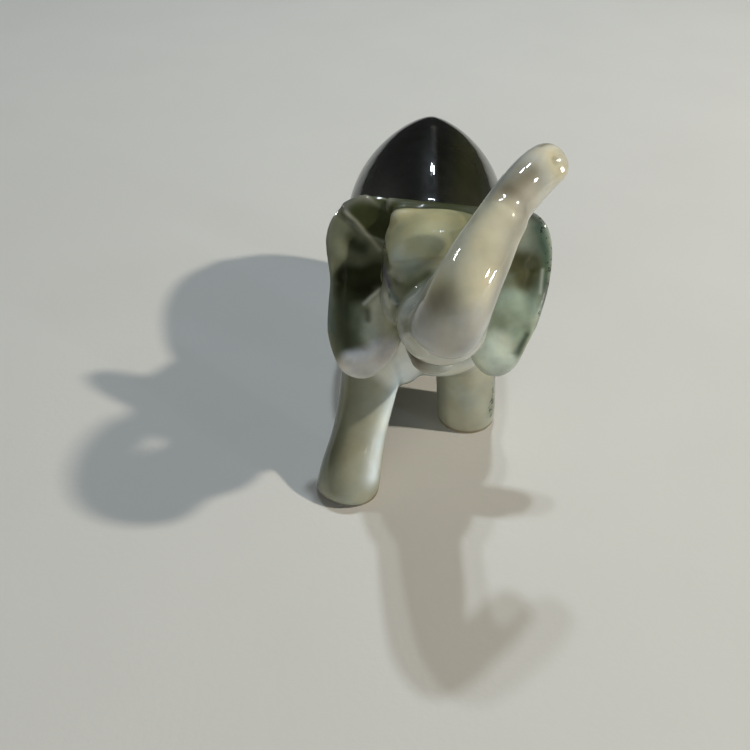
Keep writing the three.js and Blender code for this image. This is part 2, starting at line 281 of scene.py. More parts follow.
# Underglaze colours: colour, how thickly it is laid, width and edge of the spray, and its lines.
TRUNK_LINE = [section[:3] for section in TRUNK[2:]]
# Among these are painted shade, painted highlights and painted reflections, each marked below.
FIGURE_PAINT = [
    # the pale chest, and the grey trunk with its cream front and lilac foot
    ("#d9dcd6", 0.85, 8.0, 3.0, [[(-5, -26, 29), (4, -28, 29), (12, -26, 29)]]),
    ("#c4c4bb", 1.0, 9.8, 2.6, [TRUNK_LINE]),
    ("#dcd8bb", 0.85, 5.2, 3.6, [[(6.4, -51, 66), (11.0, -46.0, 71.5)]]),
    ("#a6a3a2", 0.6, 6.0, None, [[(4, -55, 54), (9, -56, 55)]]),
    # painted reflections of dark surroundings on the trunk's right, painted shade along its root
    # edge, a pale line, and grey on its left
    ("#6f6a5a", 0.7, 3.3, None, [[(0.8, -53.6, 60.6), (3.2, -54.4, 62.8)]]),
    ("#7f7f76", 0.5, 2.6, None, [[(-0.6, -53, 57.5)]]),
    # painted shade along the trunk's root edge
    ("#7c7e6e", 0.6, 2.0, None, [[(-3.1, -46.9, 49.6), (-1.9, -50.3, 50.5), (-1.0, -52, 55)]]),
    ("#c4c4b8", 0.6, 0.6, None, [[(-1.8, -52.9, 54.9), (-0.4, -52.6, 59.4), (1.6, -51.6, 63.0),
                                  (4.0, -49.4, 66.6)]]),
    ("#8d8f86", 0.75, 2.6, None, [[(13.7, -52.5, 60), (14.6, -50, 67), (16.4, -46.6, 71.5),
                                  (18.6, -43, 73.5)]]),
    # brown painted shade and a line on the bend, the cream tip and its brown lip
    ("#756f59", 0.85, 3.0, None, [[(14.2, -40.4, 77), (16.4, -38.6, 78.2), (18.6, -36.6, 78.6)]]),
    ("#8f8468", 0.5, 0.8, None, [[(12.6, -42, 76.4), (15.6, -43.4, 74.8), (18, -42, 72.6)]]),
    ("#cfc6a2", 0.85, 3.3, None, [[(22.8, -31.0, 79.2), (24.6, -32.6, 77.2)]]),
    ("#7d6f52", 0.8, 0.5, None, [[(20.8, -29.2, 80.6), (22.8, -27.6, 80.4), (25.6, -28.0, 78.9)]]),
    # the olive brow, the dark crest, and the pale pad with its darker side
    ("#6f7359", 0.9, 8.5, 3.5, [[(-4, -17, 54), (3, -19, 54), (10, -17, 54)]]),
    ("#383d22", 0.95, 2.6, 1.4, [[(-9.4, -12.4, 55.6), (-4, -12.6, 57.6), (4, -12.2, 57.8),
                                  (14, -12.0, 57.6)]]),
    ("#adab87", 0.9, 3.9, 0.9, [[(-5.6, -17.8, 54.8), (-3.0, -18.6, 56.8), (0.8, -19.0, 58.0),
                                  (4.0, -19.4, 58.4)],
                                 [(-5.2, -21.6, 55.0), (-2.6, -22.0, 56.6), (1.2, -22.2, 57.8)],
                                 [(-4.4, -25.2, 54.8), (-1.8, -25.8, 56.2), (1.0, -25.8, 57.0)]]),
    ("#74755a", 0.7, 3.0, None, [[(7.0, -17.5, 59), (6.2, -24, 58.4), (2.6, -28.1, 56.5)]]),
    # a pale dab under the pad, olive eye sockets darkened partly as painted shade under the brow,
    # and the pale cheek
    ("#a9b3a8", 0.85, 2.1, None, [[(-6.2, -27.0, 53.6), (-3.0, -29.9, 53.8)]]),
    ("#727a58", 0.8, 2.0, None, [[(-5.9, -29.4, 49.6), (-3.6, -31.8, 49.2), (-0.8, -31.4, 51.0),
                                   (0.6, -31.6, 51.8)]]),
    ("#b3b6a9", 0.8, 3.6, None, [[(-9.0, -29.0, 43), (-8.5, -30.5, 39)]]),
    # the violet eyes and their teal corners
    ("#4b4763", 0.85, 0.9, None,
     both_sides([(-9.2, -22.6, 48.4), (-8.3, -26.0, 48.6), (-7.4, -29.0, 47.6)])),
    ("#3f5a58", 0.85, 0.9, None,
     both_sides([(-7.0, -30.4, 46.6), (-5.6, -32.2, 46.4), (-4.6, -33.4, 45.6)])),
    # the forward leg: olive outside, and a streak of icy blue painted light from a cool lamp inside
    ("#6d7259", 0.75, 3.0, None, [[(-15.4, -24, 32), (-17.0, -33, 20), (-18.6, -41, 12),
                                   (-21.0, -45, 5)]]),
    ("#dfecf0", 0.95, 2.4, None, [[(-5.0, -24, 28), (-6.6, -33, 18), (-8.4, -40, 12),
                                   (-9.4, -45.6, 6)]]),
    # the other front leg: pale in front, grey painted shade inside, green outside
    ("#bcbead", 0.8, 5.0, None, [[(12.0, -22, 20), (12.0, -23, 6)]]),
    ("#85877a", 0.6, 2.4, None, [[(4.6, -18, 22), (5.0, -20, 8)]]),
    ("#5f6c50", 0.7, 1.6, None, [[(19.0, -16, 22), (19.4, -18, 12), (18.9, -20, 5)]]),
    # the rear legs
    ("#6b6c5c", 0.6, 6.0, 4.0, [[(-16, 8, 4), (-14, 14, 20)], [(15.4, 28, 4), (14, 28, 20)]]),
]
FIGURE_SPECKS = [
    # down the outside of the left front leg, and thinly over the back
    (0.95, 1.0, 2.0, [[(19.4, -17.5, 20), (19.6, -18.6, 12), (19.0, -20.4, 4)]]),
    (0.35, 9.0, 5.0, [[(0, 8, 58), (0, 34, 58)]]),
]
# Where the gloss is turned down to keep lamps from being mirrored there: share of the gloss lost,
# width, edge, lines. It suits these lamps, and isn't a matt place in the real glaze. For other
# lamps, empty both tables and the whole piece is glossy.
FIGURE_DRY = [
    # the crest, the pad and what is below it
    (0.9, 2.6, 1.4, [CREST, [(-7.5, -14.0, 57.2), (3.0, -14.0, 57.6), (13.4, -14.0, 56.6)],
                     [(-6.5, -17.2, 56.4), (3.0, -17.6, 58.4), (9.0, -17.4, 58.4)]]),
    (0.95, 3.6, 1.5, [[(-4.0, -21.5, 56.5), (5.5, -22.8, 58.2)],
                      [(-3.0, -25.0, 56.0), (3, -26, 57)]]),
    (0.8, 3.0, 1.5, [[(-5.2, -25.0, 55.4), (-4.6, -28.0, 54.6)], [(-1.1, -32.9, 50.6)]]),
    # the front of the forward leg
    (0.97, 4.6, 2.0, [[(-7.0, -30, 24), (-9.6, -38.0, 17), (-10.8, -43.2, 9), (-11.6, -46.0, 4)]]),
]
EAR_DRY = [(0.95, 1.8, 1.0, [[(25.2, 33.0), (25.2, 24.0), (24.6, 17.0), (22.8, 11.0)]])]
JAW_GREY, TAIL_BLACK = "#a9aaa0", "#1c1d12"
# painted shade in the corner of the mouth, under the trunk's root
MOUTH_CORNER_SHADE = [
    ("#5f564a", 0.9, 2.6, None, [[(-3.6, -33, 37.0), (-2.6, -37, 36.0), (-0.8, -39.6, 35.6)]]),
]
EAR_GREYS = {"ear_right": "#757b68", "ear_left": "#86927f"}
EAR_BACK = "#4a4e40"
EAR_PAINT = {
    "ear_right": [
        # a grey rim, the olive web and the pale fold
        ("#6a6f61", 0.6, 1.6, None, [[(23.4, 35.0), (24.4, 31.7), (23.8, 27.0)]]),
        ("#363d22", 0.95, 3.2, 1.0, [[(10.6, 34.4), (14.6, 35.9), (18.4, 38.6)],
                                      [(8.0, 38.0), (13.0, 39.0)]]),
        ("#a9ab98", 0.8, 0.45, None, [EAR_FOLD]),
        # under the fold, the ridge, and the nearly black hollows
        ("#363a24", 0.85, 1.8, None, [[(19.8, 31.4), (18.4, 30.2), (17.0, 29.8)]]),
        ("#5f6250", 0.8, 1.3, None, [[(22.4, 26.8), (17.0, 27.0), (12.0, 27.8)]]),
        ("#23260f", 0.97, 1.6, 3.0, [[(20.0, 23.0), (16.6, 22.8), (13.4, 24.2)],
                                      [(19.8, 20.0), (16.6, 20.4)]]),
        ("#3f442e", 0.9, 2.2, None, [[(20.6, 18.6), (20.4, 12.6), (19.6, 8.0), (18.2, 5.6)]]),
        # the pale swell, its dimple, and a painted highlight along its curl
        ("#b1b5a6", 0.9, 1.8, 3.0, [[(9.0, 17.6), (12.0, 15.4), (12.8, 11.0), (11.0, 9.0)]]),
        ("#565a4a", 0.7, 0.9, None, [[(15.2, 15.6), (15.0, 13.6)]]),
        ("#b9bcae", 0.8, 0.4, None, [[(12.5, 20.6), (14.3, 18.9), (16.0, 17.1)]]),
        # a teal rim, and the white lobe
        ("#3f5a57", 0.7, 0.8, None, [[(24.5, 19.0), (23.9, 15.0), (23.0, 11.0)]]),
        ("#d9d9dc", 0.9, 2.2, 2.8, [[(17.6, 2.8), (14.2, 3.8), (10.4, 6.0)]]),
    ],
    "ear_left": [
        # a pale top with a black edge, and the brown hollow
        ("#b4bdae", 0.8, 3.0, None, [[(18.2, 35.4), (17.6, 31.6)]]),
        ("#1f2a1c", 0.95, 1.1, None, [[(16.4, 40.0), (19.6, 38.6), (22.2, 36.8)]]),
        ("#5c5c3d", 0.9, 1.4, 3.0, [[(17.4, 27.6), (20.4, 27.2)], [(19.6, 24.6)]]),
        ("#7b7f66", 0.6, 1.8, None, [[(16.3, 22.7)]]),
        # the green rim, a pale painted highlight inside it and its dark outer edge
        ("#3f5a48", 0.75, 1.3, None, [[(21.8, 35.3), (23.6, 30.8), (24.3, 26.4), (23.6, 22.8)]]),
        ("#c9d0c4", 0.7, 0.35, None, [[(23.2, 26.3), (23.0, 21.2)]]),
        ("#26332a", 0.85, 0.7, None, [[(24.9, 24.0), (24.3, 20.0), (23.0, 16.0), (22.0, 13.0)]]),
        # the pale green middle, the groove and the pale lobe
        ("#a3b6a8", 0.85, 1.8, 3.0, [[(16.6, 18.6), (20.0, 16.6)], [(19.4, 12.6)]]),
        ("#3f4d40", 0.85, 0.8, None, [[(20.6, 11.8), (18.6, 7.7)]]),
        ("#bfc8ba", 0.9, 2.2, 3.0, [[(11.4, 7.2), (15.0, 5.0)], [(14.2, 9.0)]]),
    ],
}
EAR_SPECKS = {
    "ear_right": [(0.3, 1.0, 1.0, [[(20.0, 24.0), (16.0, 22.0)]])],
    "ear_left": [(0.7, 0.8, 1.2, [[(16.4, 40.0), (19.6, 38.6), (22.4, 36.6), (24.6, 30.0),
                                    (24.8, 23.0), (23.4, 16.0)]])],
}

# The table, the camera and the lamps.
TABLE_SIZE = 1.2               # half a side, in metres
FIBRE_MM, FIBRE_HEIGHT_MM, BLOTCH_MM = 1.6, 0.06, 40.0
CARD_COLOURS = "#c6c5bd", "#cccbc3"
SENSOR_MM, LENS_MM = 36, 40.8
CAMERA_PLACE = (1.3, -180.4, 150)
CAMERA_TILT, CAMERA_TURN = 50, 4.4    # degrees
ROOM_GLOW = (0.02, 0.021, 0.021, 1)
# A lamp: its place and size in mm, power, colour, whether the glaze mirrors it, and whether it
# lights the figure. The glints give reflections only: highlights in the glaze, and a sheen on the
# table that shows from the side and from behind.
LAMPS = {
    "lamp_right": ((743, -39, 659), 45, 6.6, "#fff6ea", True, True),
    "lamp_behind": ((34, 490, 930), 45, 3.5, "#e6f2ff", True, True),
    "lamp_behind_left": ((-60, 500, 930), 45, 1.9, "#e6f2ff", True, True),
    "low_right": ((900, -500, 230), 24, 1.1, "#dcecff", True, True),
    "glint_low_right": ((940, -345, 75), 110, 3.8, "#f0f6ff", True, False),
    "glint_right": ((730, -560, 420), 80, 2.1, "#fffaf0", True, False),
    "glint_left": ((-780, 310, 530), 90, 2.6, "#ffffff", True, False),
    "wide_front": ((-200, -900, 220), 700, 2.4, "#fbfbf6", False, True),
}


# ---------------------------------------------------------------- clay work
def bent(value, roundness):
    """A circle's coordinate on a rounder or more pointed section."""
    return math.copysign(abs(value) ** (2 / roundness), value)


def smooth_row(rows, step, closed=False):
    """The row that a smooth curve through the rows has at step, which is counted in rows."""
    count = len(rows)
    first = int(step) if closed else min(int(step), count - 2)
    t = step - first
    picks = [first + k for k in (-1, 0, 1, 2)]
    if closed:
        a, b, c, d = (rows[k % count] for k in picks)
    else:
        a, b, c, d = (rows[min(max(k, 0), count - 1)] for k in picks)
    return 0.5 * (2 * b + (c - a) * t + (2 * a - 5 * b + 4 * c - d) * t**2
                  + (3 * b - a - 3 * c + d) * t**3)


def coil(bm, sections, caps, keel=ROUND, sides=40, rings=22, cap_rings=6):
    """Lays a closed coil of clay along the sections, with a domed end of the caps' lengths."""
    rows = np.array(sections, float)
    last = len(rows) - 1
    tip, nudge = 0.15, 0.02    # the dome stops this share of a ring short; step to a near section
    dome = [math.pi / 2 * (k + tip) / cap_rings for k in range(cap_rings)]
    stations = [(0, -caps[0] * math.cos(a), math.sin(a)) for a in dome]
    stations += [(last * k / rings, 0, 1) for k in range(rings + 1)]
    stations += [(last, caps[1] * math.cos(a), math.sin(a)) for a in reversed(dome)]
    loops = []
    for step, beyond, size in stations:
        row = smooth_row(rows, step)
        ahead = smooth_row(rows, min(step + nudge, last))
        behind = smooth_row(rows, max(step - nudge, 0))
        tangent = Vector(ahead[:3] - behind[:3]).normalized()
        across = (Vector((1, 0, 0)) - tangent * tangent.x).normalized()
        up = tangent.cross(across)
        ring = Matrix.Translation(Vector(row[:3]) + tangent * beyond) @ Matrix((
            across * row[3] * size, up * row[4] * size, tangent)).transposed().to_4x4()
        verts = bmesh.ops.create_circle(bm, segments=sides, radius=1.0)["verts"]
        for vert in verts:
            roundness = keel if vert.co.y > 0 else ROUND
            vert.co.x = bent(vert.co.x, roundness)
            vert.co.y = bent(vert.co.y, roundness)
        bmesh.ops.transform(bm, matrix=ring, verts=verts)
        loops.append(list({edge for vert in verts for edge in vert.link_edges}))
    ends = [loops[0], loops[-1]]
    for this, following in zip(loops, loops[1:]):
        bmesh.ops.bridge_loops(bm, edges=this + following)
    for loop in ends:
        bmesh.ops.edgeloop_fill(bm, edges=loop)


def fused(bm, facet):
    """Everything in bm as one closed skin of even facets."""
    bmesh.ops.recalc_face_normals(bm, faces=bm.faces)
    mesh = bpy.data.meshes.new("clay")
    bm.to_mesh(mesh)
    bm.free()
    lump = bpy.data.objects.new("clay", mesh)
    bpy.context.scene.collection.objects.link(lump)
    remesh = lump.modifiers.new("fuse", "REMESH")
    remesh.mode = "VOXEL"
    remesh.voxel_size = facet
    depsgraph = bpy.context.evaluated_depsgraph_get()
    skin = bpy.data.meshes.new_from_object(lump.evaluated_get(depsgraph))
    bpy.data.objects.remove(lump)
    return skin


class Clay:
    """A skin that is being worked: its points, in mm, and the links between them."""

    def __init__(self, mesh, colour):
        self.mesh = mesh
        flat = np.empty(len(mesh.vertices) * 3, np.float32)
        mesh.vertices.foreach_get("co", flat)
        self.points = flat.reshape(-1, 3).astype(float)
        ends = np.empty(len(mesh.edges) * 2, np.int32)
        mesh.edges.foreach_get("vertices", ends)
        self.ends = ends.reshape(-1, 2)
        self.links = np.bincount(ends, minlength=len(self.points))[:, None]
        self.paint = np.tile(linear(colour), (len(self.points), 1))
        self.specks = np.full(len(self.points), FEW_SPECKS)
        self.wet = np.ones(len(self.points))

    def normals(self):
        """The way each point faces now."""
        self.mesh.vertices.foreach_set("co", self.points.astype(np.float32).ravel())
        self.mesh.update()
        flat = np.empty(len(self.points) * 3, np.float32)
        self.mesh.vertex_normals.foreach_get("vector", flat)
        return flat.reshape(-1, 3).astype(float)

    def neighbours(self, values):
        """The mean of values over each point's neighbours."""
        one, other = self.ends.T
        total = np.empty_like(values)
        for k in range(values.shape[1]):
            column = values[:, k]
            total[:, k] = (np.bincount(one, column[other], len(values))
                           + np.bincount(other, column[one], len(values)))
        return total / self.links

    def smooth(self, times, share=RUB):
        """Rubs the clay smooth. share may be one number or one for each point."""
        for _ in range(times):
            self.points += (self.neighbours(self.points) - self.points) * share

    def raise_by(self, heights):
        """Pushes each point out by its height, or in where that is negative."""
        self.points += self.normals() * heights[:, None]

    def pull(self, table):
        """Pulls the clay along as the table says."""
        for move, width, lines in table:
            self.points += np.outer(touched(self.points, width, None, lines), move)

    def spray(self, weight, colour):
        """Sprays colour on, as thickly as weight says."""
        share = np.clip(weight, 0, 1)[:, None]
        self.paint += (np.array(linear(colour)) - self.paint) * share

    def spray_broadly(self, table):
        """Sprays a table of broad colours, which fade along x, y and z."""
        for colour, thickness, *fades in table:
            weight = thickness
            for along, fade in zip(self.points.T, fades):
                if fade:
                    weight = weight * step_up(along, *fade)
            self.spray(weight, colour)

    def decorate(self, where, paint, specks):
        """Sprays a table of colours and a table of specks, drawn where the points are given."""
        for colour, thickness, width, edge, lines in paint:
            self.spray(thickness * touched(where, width, edge, lines), colour)
        for density, width, edge, lines in specks:
            self.specks = np.maximum(self.specks, density * touched(where, width, edge, lines))

    def dry(self, where, table):
        """Turns the gloss down where the table's lines are drawn."""
        for share, width, edge, lines in table:
            self.wet *= 1 - share * touched(where, width, edge, lines)

    def pool_glaze(self):
        """Glaze runs off ridges, which show paler, and pools darker and greener in hollows."""
        rubbed = self.points
        for _ in range(POOL_RUBS):
            rubbed = rubbed + (self.neighbours(rubbed) - rubbed) * RUB
        depth = ((rubbed - self.points) * self.normals()).sum(axis=1)
        for colour, thickness, fade in (POOLED, THINNED):
            self.spray(thickness * step_up(depth, *fade), colour)

    def finished(self):
        """The mesh, still in mm, with its paint, its specks in the paint's alpha, and its gloss."""
        self.pool_glaze()
        self.normals()
        layer = self.mesh.attributes.new("paint", "FLOAT_COLOR", "POINT")
        rgba = np.ones((len(self.points), 4), np.float32)
        rgba[:, :3] = self.paint
        rgba[:, 3] = self.specks
        layer.data.foreach_set("color", rgba.ravel())
        gloss = self.mesh.attributes.new("wet", "FLOAT", "POINT")
        gloss.data.foreach_set("value", self.wet.astype(np.float32))
        return self.mesh


def linear(colour):
    """An sRGB hex colour as linear light."""
    levels = [int(colour[k:k + 2], 16) / 255 for k in (1, 3, 5)]
    return [v / 12.92 if v <= 0.04045 else ((v + 0.055) / 1.055) ** 2.4 for v in levels]


def step_up(value, start, end):
    """0 before start, 1 past end, and a soft step between them."""
    t = np.clip((value - start) / (end - start), 0, 1)
    return t * t * (3 - 2 * t)


def reach(points, line):
    """How far each point is from a line of points in two or three dimensions."""
    line = [np.array(p, float) for p in line]
    if len(line) == 1:
        return np.linalg.norm(points - line[0], axis=1)
    best = np.full(len(points), np.inf)
    for a, b in zip(line, line[1:]):
        run = b - a
        t = np.clip((points - a) @ run / (run @ run), 0, 1)
        best = np.minimum(best, np.linalg.norm(points - a - t[:, None] * run, axis=1))
    return best


def soft(points, line, width):
    """A soft tool or spray of that width along the line: 1 on it, fading to 0."""
    return np.exp(-((reach(points, line) / width) ** 2))


def firm(points, line, width, edge):
    """A firm tool: 1 out to width from the line, and down to 0 over edge."""
    return 1 - step_up(reach(points, line), width, width + edge)


def touched(points, width, edge, lines):
    """How strongly a tool that is drawn along the lines touches each point."""
    strokes = [
        soft(points, line, width) if edge is None else firm(points, line, width, edge)
        for line in lines]
    return np.max(strokes, axis=0)


# ---------------------------------------------------------------- the figure
def lay_crest(bm):
    """Rolls of clay over the head, from ear to ear."""
    for line, radius in CREST_ROLLS:
        for a, b in zip(line, line[1:]):
            run = Vector(b) - Vector(a)
            place_at = Matrix.Translation((Vector(a) + Vector(b)) / 2)
            turn = run.to_track_quat("Z", "Y").to_matrix().to_4x4()
            bmesh.ops.create_cone(
                bm, cap_ends=True, segments=24, radius1=radius, radius2=radius,
                depth=run.length, matrix=place_at @ turn)


def model_figure():
    """The body, head, trunk and legs as one skin."""
    bm = bmesh.new()
    coil(bm, BODY, (7.5, 7.5), keel=1.5, sides=64)
    coil(bm, HEAD, (4, 4.5), keel=2.5)
    coil(bm, TRUNK, (4, 3), rings=60)
    coil(bm, CROOK, (2, 2))
    lay_crest(bm)
    for middle, half in BALLS:
        bmesh.ops.create_uvsphere(
            bm, u_segments=48, v_segments=32, radius=1,
            matrix=Matrix.Translation(middle) @ Matrix.Diagonal((*half, 1)))
    for sections in LEGS.values():
        coil(bm, sections, (5, 2))
    clay = Clay(fused(bm, FINE), CLAY_GREY)
    clay.smooth(18)
    work_face_and_trunk(clay)
    open_trunk(clay)
    bore_vent(clay)
    flatten_soles(clay)
    return clay


def work_face_and_trunk(clay):
    """Presses and pinches the face and the trunk into shape."""
    clay.pull(CHEEK_PULLS)
    joins = touched(clay.points, JOINS_WIDTH, None, [[section[:3] for section in CROOK], NAPE])
    clay.smooth(JOINS_RUBS, (RUB * joins)[:, None])
    clay.pull(TRUNK_PULLS)
    for height, width, edge, lines in FIGURE_RELIEF:
        clay.raise_by(height * touched(clay.points, width, edge, lines))
    clay.smooth(3)


def open_trunk(clay):
    """Slices the trunk's end, dishes the slice and dents it twice for the nostrils."""
    beyond = (clay.points - TIP_POINT) @ np.array(TIP_FACE)
    at_tip = firm(clay.points, [TIP_POINT], 5.5, 3.0)
    clay.points -= np.outer(np.maximum(beyond, 0) * TIP_SLICE * at_tip, TIP_FACE)
    clay.smooth(3, (0.5 * at_tip)[:, None])
    dish = soft(clay.points, [TIP_POINT], DISH_WIDTH)
    nostrils = touched(clay.points, NOSTRIL_WIDTH, None, [[spot] for spot in NOSTRILS])
    clay.raise_by(-DISH_DEPTH * dish - NOSTRIL_DEPTH * nostrils)
    clay.smooth(1)


def bore_vent(clay):
    """Opens the air hole that lets the hollow body breathe in the kiln."""
    z = clay.points[:, 2]
    body_middle_z = BODY[2][2]
    under = (z < body_middle_z) & (z > LEG_CUT_Z) & (clay.normals()[:, 2] < 0)
    hole = firm(clay.points[:, :2], [VENT_MIDDLE], VENT_RADIUS - VENT_EDGE, VENT_EDGE) * under
    clay.points[:, 2] += VENT_DEPTH * hole


def flatten_soles(clay):
    """Stands the figure on its four feet, with the soles' edges rubbed round."""
    z = clay.points[:, 2]
    z[z < 0] = 0
    near_sole = 1 - step_up(z, 0.4, 1.2)
    clay.smooth(4, (0.5 * near_sole)[:, None])
    clay.points[:, 2] = np.maximum(clay.points[:, 2], 0)


# ---------------------------------------------------------------- the ears
def ear_blank(name):
    """A ball of clay pressed out to the ear's outline and cupped, lying on its own plane."""
    corners = np.array(EAR_OUTLINES[name], float)
    turns = 400
    outline = np.array([
        smooth_row(corners, len(corners) * k / turns, closed=True) for k in range(turns + 1)])
    run = np.concatenate([[0], np.cumsum(np.linalg.norm(np.diff(outline, axis=0), axis=1))])
    run /= run[-1]
    bm = bmesh.new()
    bmesh.ops.create_uvsphere(bm, u_segments=128, v_segments=48, radius=1.0)
    for vert in bm.verts:
        x, y, z = vert.co
        spread = min(1, math.hypot(x, y))
        turn = (math.atan2(y, x) / (2 * math.pi)) % 1
        edge = np.array([np.interp(turn, run, outline[:, 0]), np.interp(turn, run, outline[:, 1])])
        out, rise = EAR_CENTRE + (edge - EAR_CENTRE) * spread
        thick = bent(z, EAR_EDGE) * EAR_THICKNESS / 2
        vert.co = (out, rise, thick - EAR_CUP * (1 - spread**2))
    return Clay(fused(bm, FINER), EAR_GREYS[name])


def shape_ear(clay, name):
    """Folds and hollows the front of an ear; its back stays smooth."""
    clay.smooth(6)
    front = step_up(clay.points[:, 2] - EAR_MIDDLE, *EAR_FRONT)
    for height, width, edge, lines in EAR_RELIEF[name]:
        clay.raise_by(height * front * touched(clay.points[:, :2], width, edge, lines))
    clay.smooth(3)


def ear_in_place(name):
    """Carries an ear from its own plane to the head, and turns it over for the right side."""
    side = EAR_SIDE[name]
    forwards = Vector((0, -EAR_LEAN.z, EAR_LEAN.y))
    return Matrix.Translation(EAR_FOOT) @ Matrix((
        (side, 0, 0), EAR_LEAN, forwards)).transposed().to_4x4()


# ---------------------------------------------------------------- painting
def paint_figure(clay):
    """Sprays the dark back over the grey, then the face, trunk and legs, and wipes the soles."""
    clay.spray_broadly(BACK_PAINT)
    clay.decorate(clay.points, FIGURE_PAINT, FIGURE_SPECKS)
    clay.dry(clay.points, FIGURE_DRY)
    clay.spray_broadly(SOLE_PAINT)


def paint_ear(clay, name):
    """Sprays an ear as its table says in front, and dark behind."""
    clay.decorate(clay.points[:, :2], EAR_PAINT[name], EAR_SPECKS[name])
    clay.dry(clay.points[:, :2], EAR_DRY)
    rear = 1 - step_up(clay.points[:, 2] - EAR_MIDDLE, *EAR_REAR)
    faces_back = clay.normals()[:, 2] < 0.2
    clay.spray(rear * faces_back, EAR_BACK)


# ---------------------------------------------------------------- trimming apart
def neck_height(point):
    """How far a point is above the neck's seam."""
    return point.z - NECK_TOP.z - NECK_SLOPE * (point.y - NECK_TOP.y)


def casting_of(point):
    """The casting that a point of the figure's skin belongs to."""
    if neck_height(point) > 0:
        if point.y < TRUNK_CUT_Y or point.z > HEAD_TOP_Z:
            return "trunk"
        return "head"
    if point.z > LEG_CUT_Z:
        return "torso"
    end = "front" if point.y < MID_LEGS_Y else "rear"
    return f"leg_{end}_{'left' if point.x > 0 else 'right'}"


def cut(bm, point, normal, where):
    """Cuts bm's skin along a plane, only in the faces whose middle is where it says."""
    faces = [face for face in bm.faces if where(face.calc_center_median())]
    edges = {edge for face in faces for edge in face.edges}
    verts = {vert for face in faces for vert in face.verts}
    bmesh.ops.bisect_plane(
        bm, geom=faces + list(edges) + list(verts), dist=1e-5, plane_co=point, plane_no=normal)


def trim_apart(mesh):
    """The figure's skin as one closed bmesh for each casting."""
    bm = bmesh.new()
    bm.from_mesh(mesh)
    cut(bm, NECK_TOP, Vector((0, -NECK_SLOPE, 1)), lambda p: abs(neck_height(p)) < CUT_REACH)
    cut(bm, Vector((0, TRUNK_CUT_Y, 0)), Vector((0, 1, 0)),
        lambda p: (abs(p.y - TRUNK_CUT_Y) < CUT_REACH and p.z < HEAD_TOP_Z
                   and neck_height(p) > 0))
    cut(bm, Vector((0, 0, LEG_CUT_Z)), Vector((0, 0, 1)),
        lambda p: abs(p.z - LEG_CUT_Z) < CUT_REACH and neck_height(p) < 0)
    bm.normal_update()
    flow = bm.verts.layers.float_vector.new("flow")
    mark = bm.faces.layers.int.new("casting")
    for vert in bm.verts:
        vert[flow] = vert.normal
    castings = ["torso", "head", "trunk", *LEGS]
    for face in bm.faces:
        face[mark] = castings.index(casting_of(face.calc_center_median()))
    pieces = {}
    for number, name in enumerate(castings):
        part = bm.copy()
        layer = part.faces.layers.int["casting"]
        rest = [face for face in part.faces if face[layer] != number]
        bmesh.ops.delete(part, geom=rest, context="FACES")
        rim = [edge for edge in part.edges if edge.is_boundary]
        bmesh.ops.holes_fill(part, edges=rim, sides=0)
        pieces[name] = part
    bm.free()
    return pieces


def lay_normals(mesh):
    """Lights each trimmed piece as part of the whole skin, so that no seam shows in the glaze."""
    count = len(mesh.loops)
    flow = np.empty(len(mesh.vertices) * 3, np.float32)
    mesh.attributes["flow"].data.foreach_get("vector", flow)
    flow = flow.reshape(-1, 3)
    corner = np.empty(count, np.int32)
    mesh.loops.foreach_get("vertex_index", corner)
    normals = flow[corner]
    for face in mesh.polygons:
        if face.loop_total > MOST_CORNERS:
            normals[list(face.loop_indices)] = face.normal
    mesh.normals_split_custom_set(normals.tolist())
    mesh.attributes.remove(mesh.attributes["flow"])
    mesh.attributes.remove(mesh.attributes["casting"])


# ---------------------------------------------------------------- materials
def node(tree, kind, settings=None, **inputs):
    """Adds a node with its settings, and sets or links its inputs."""
    made = tree.nodes.new(kind)
    for name, value in (settings or {}).items():
        setattr(made, name, value)
    for name, value in inputs.items():
        key = int(name[1:]) if name[0] == "i" and name[1:].isdigit() else name.replace("_", " ")
        socket = made.inputs[key]
        if isinstance(value, bpy.types.NodeSocket):
            tree.links.new(value, socket)
        else:
            socket.default_value = value
    return made


